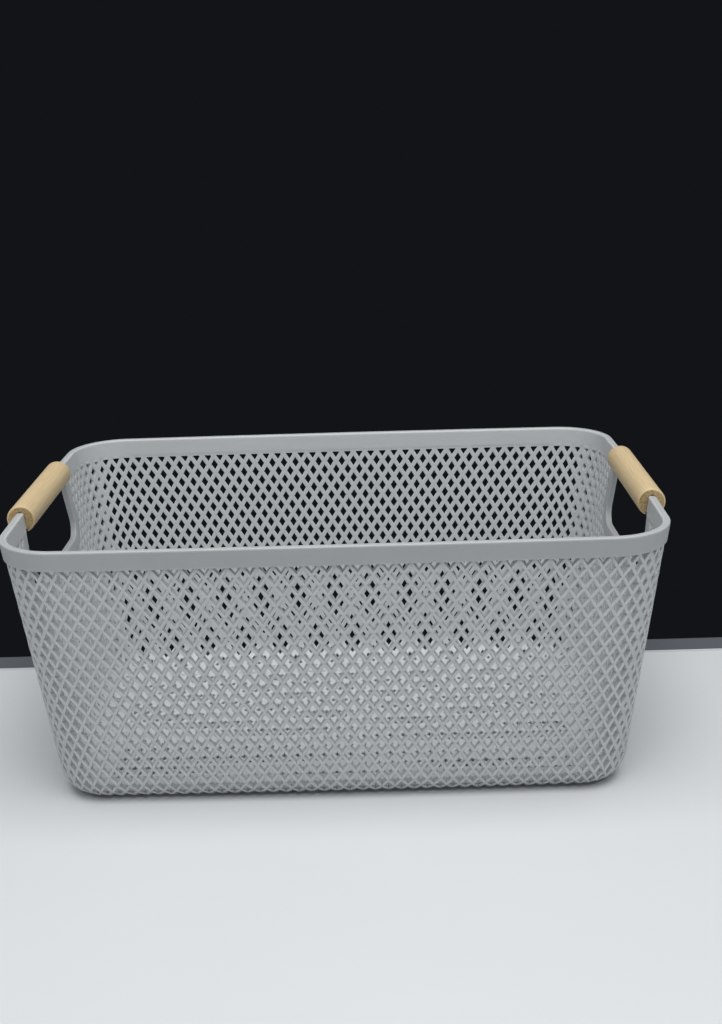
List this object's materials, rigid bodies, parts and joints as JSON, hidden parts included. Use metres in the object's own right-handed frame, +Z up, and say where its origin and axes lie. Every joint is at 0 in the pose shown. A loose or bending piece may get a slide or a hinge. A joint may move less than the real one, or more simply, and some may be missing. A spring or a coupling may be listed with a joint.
{
  "type": "storage basket",
  "caption": "Open rectangular storage basket of moulded plastic with diamond mesh walls and floor, a smooth rim band, and a hand hole under a round wooden grip at each end.",
  "frame": {"origin": "middle of the base, on the surface that the basket stands on", "axes": "+X along the long sides, from the left grip to the right grip; +Y from the front long side to the back one; +Z up"},
  "size_m": [0.4076, 0.2662, 0.1781],
  "materials": {
    "grey_plastic": "fine satin grain as moulded polypropylene",
    "pale_wood": "sanded pale hardwood dowel, waxed"
  },
  "bodies": {
    "root": {"rim_band": "grey_plastic", "base_edge": "grey_plastic", "front_mesh_wall": "grey_plastic", "back_mesh_wall": "grey_plastic", "left_mesh_wall": "grey_plastic", "right_mesh_wall": "grey_plastic", "mesh_floor": "grey_plastic", "left_hand_hole_plate": "grey_plastic", "right_hand_hole_plate": "grey_plastic", "front_left_corner": "grey_plastic", "front_right_corner": "grey_plastic", "back_left_corner": "grey_plastic", "back_right_corner": "grey_plastic", "left_wooden_grip": "pale_wood", "right_wooden_grip": "pale_wood"}
  },
  "joints": []
}
